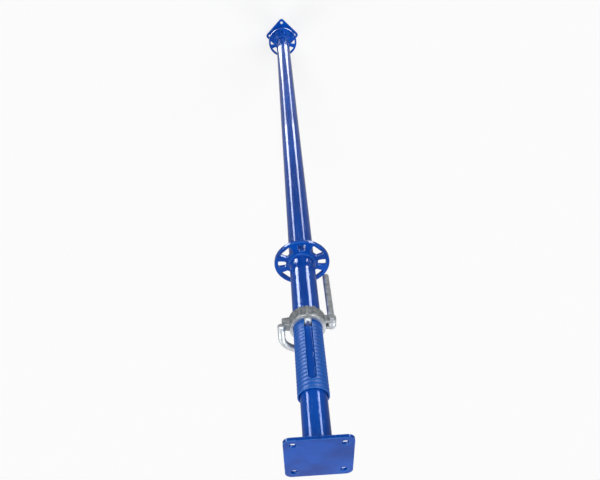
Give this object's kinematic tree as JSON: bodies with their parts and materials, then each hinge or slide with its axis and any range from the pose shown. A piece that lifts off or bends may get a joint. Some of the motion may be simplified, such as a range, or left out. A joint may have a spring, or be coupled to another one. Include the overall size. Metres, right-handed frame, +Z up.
{
  "type": "adjustable steel prop",
  "caption": "Telescopic steel prop with square end plates, ring-lock rosettes, a slotted threaded collar, an adjusting nut with a swinging handle and a G-shaped pin.",
  "frame": {"origin": "centre of the base plate's underside, on the ground", "axes": "+Z up the tube, -Y the side that the pin's tip points to, -X the side that the nut's handle hangs on"},
  "size_m": [0.1456, 0.1456, 2.0611],
  "materials": {
    "blue_paint": "glossy blue enamel",
    "painted_weld": "glossy blue enamel over a rippled weld",
    "zinc_steel": "zinc-plated, dull",
    "cast_iron": "galvanised casting, rough"
  },
  "bodies": {
    "outer_section": {"base_plate": "blue_paint", "base_plate_weld": "painted_weld", "outer_tube": "blue_paint", "lower_rosette": "blue_paint", "lower_rosette_weld_under": "painted_weld", "lower_rosette_weld_over": "painted_weld", "upper_rosette": "blue_paint", "upper_rosette_weld_under": "painted_weld", "upper_rosette_weld_over": "painted_weld", "thread_seam_weld": "painted_weld", "threaded_sleeve": "blue_paint"},
    "washer": {"thrust_washer": "zinc_steel"},
    "nut": {"adjusting_nut": "cast_iron", "handle_bolt": "zinc_steel", "handle_bolt_nut": "zinc_steel"},
    "handle": {"nut_handle": "zinc_steel"},
    "pin": {"locking_pin": "zinc_steel"},
    "inner_section": {"inner_tube": "blue_paint", "head_plate": "blue_paint", "head_plate_weld": "painted_weld"}
  },
  "joints": [
    {"name": "screw_lift", "type": "slide", "parent": "outer_section", "child": "washer", "axis": [0, 0, 1], "range_m": [0, 0.12]},
    {"name": "nut_turn", "type": "hinge", "parent": "washer", "child": "nut", "pos_m": [0, 0, 1.7815], "axis": [0, 0, 1], "range_deg": [0, 5400]},
    {"name": "handle_swing", "type": "hinge", "parent": "nut", "child": "handle", "pos_m": [-0.0484, 0, 1.7815], "axis": [0, 1, 0], "range_deg": [-5, 90]},
    {"name": "pin_pull", "type": "slide", "parent": "washer", "child": "pin", "axis": [0, 1, 0], "range_m": [0, 0.08]},
    {"name": "telescope", "type": "slide", "parent": "washer", "child": "inner_section", "axis": [0, 0, 1], "range_m": [0, 1.44]}
  ],
  "couplings": [
    {"joint": "screw_lift", "follows": "nut_turn", "m_per_rad": 0.0012732}
  ]
}
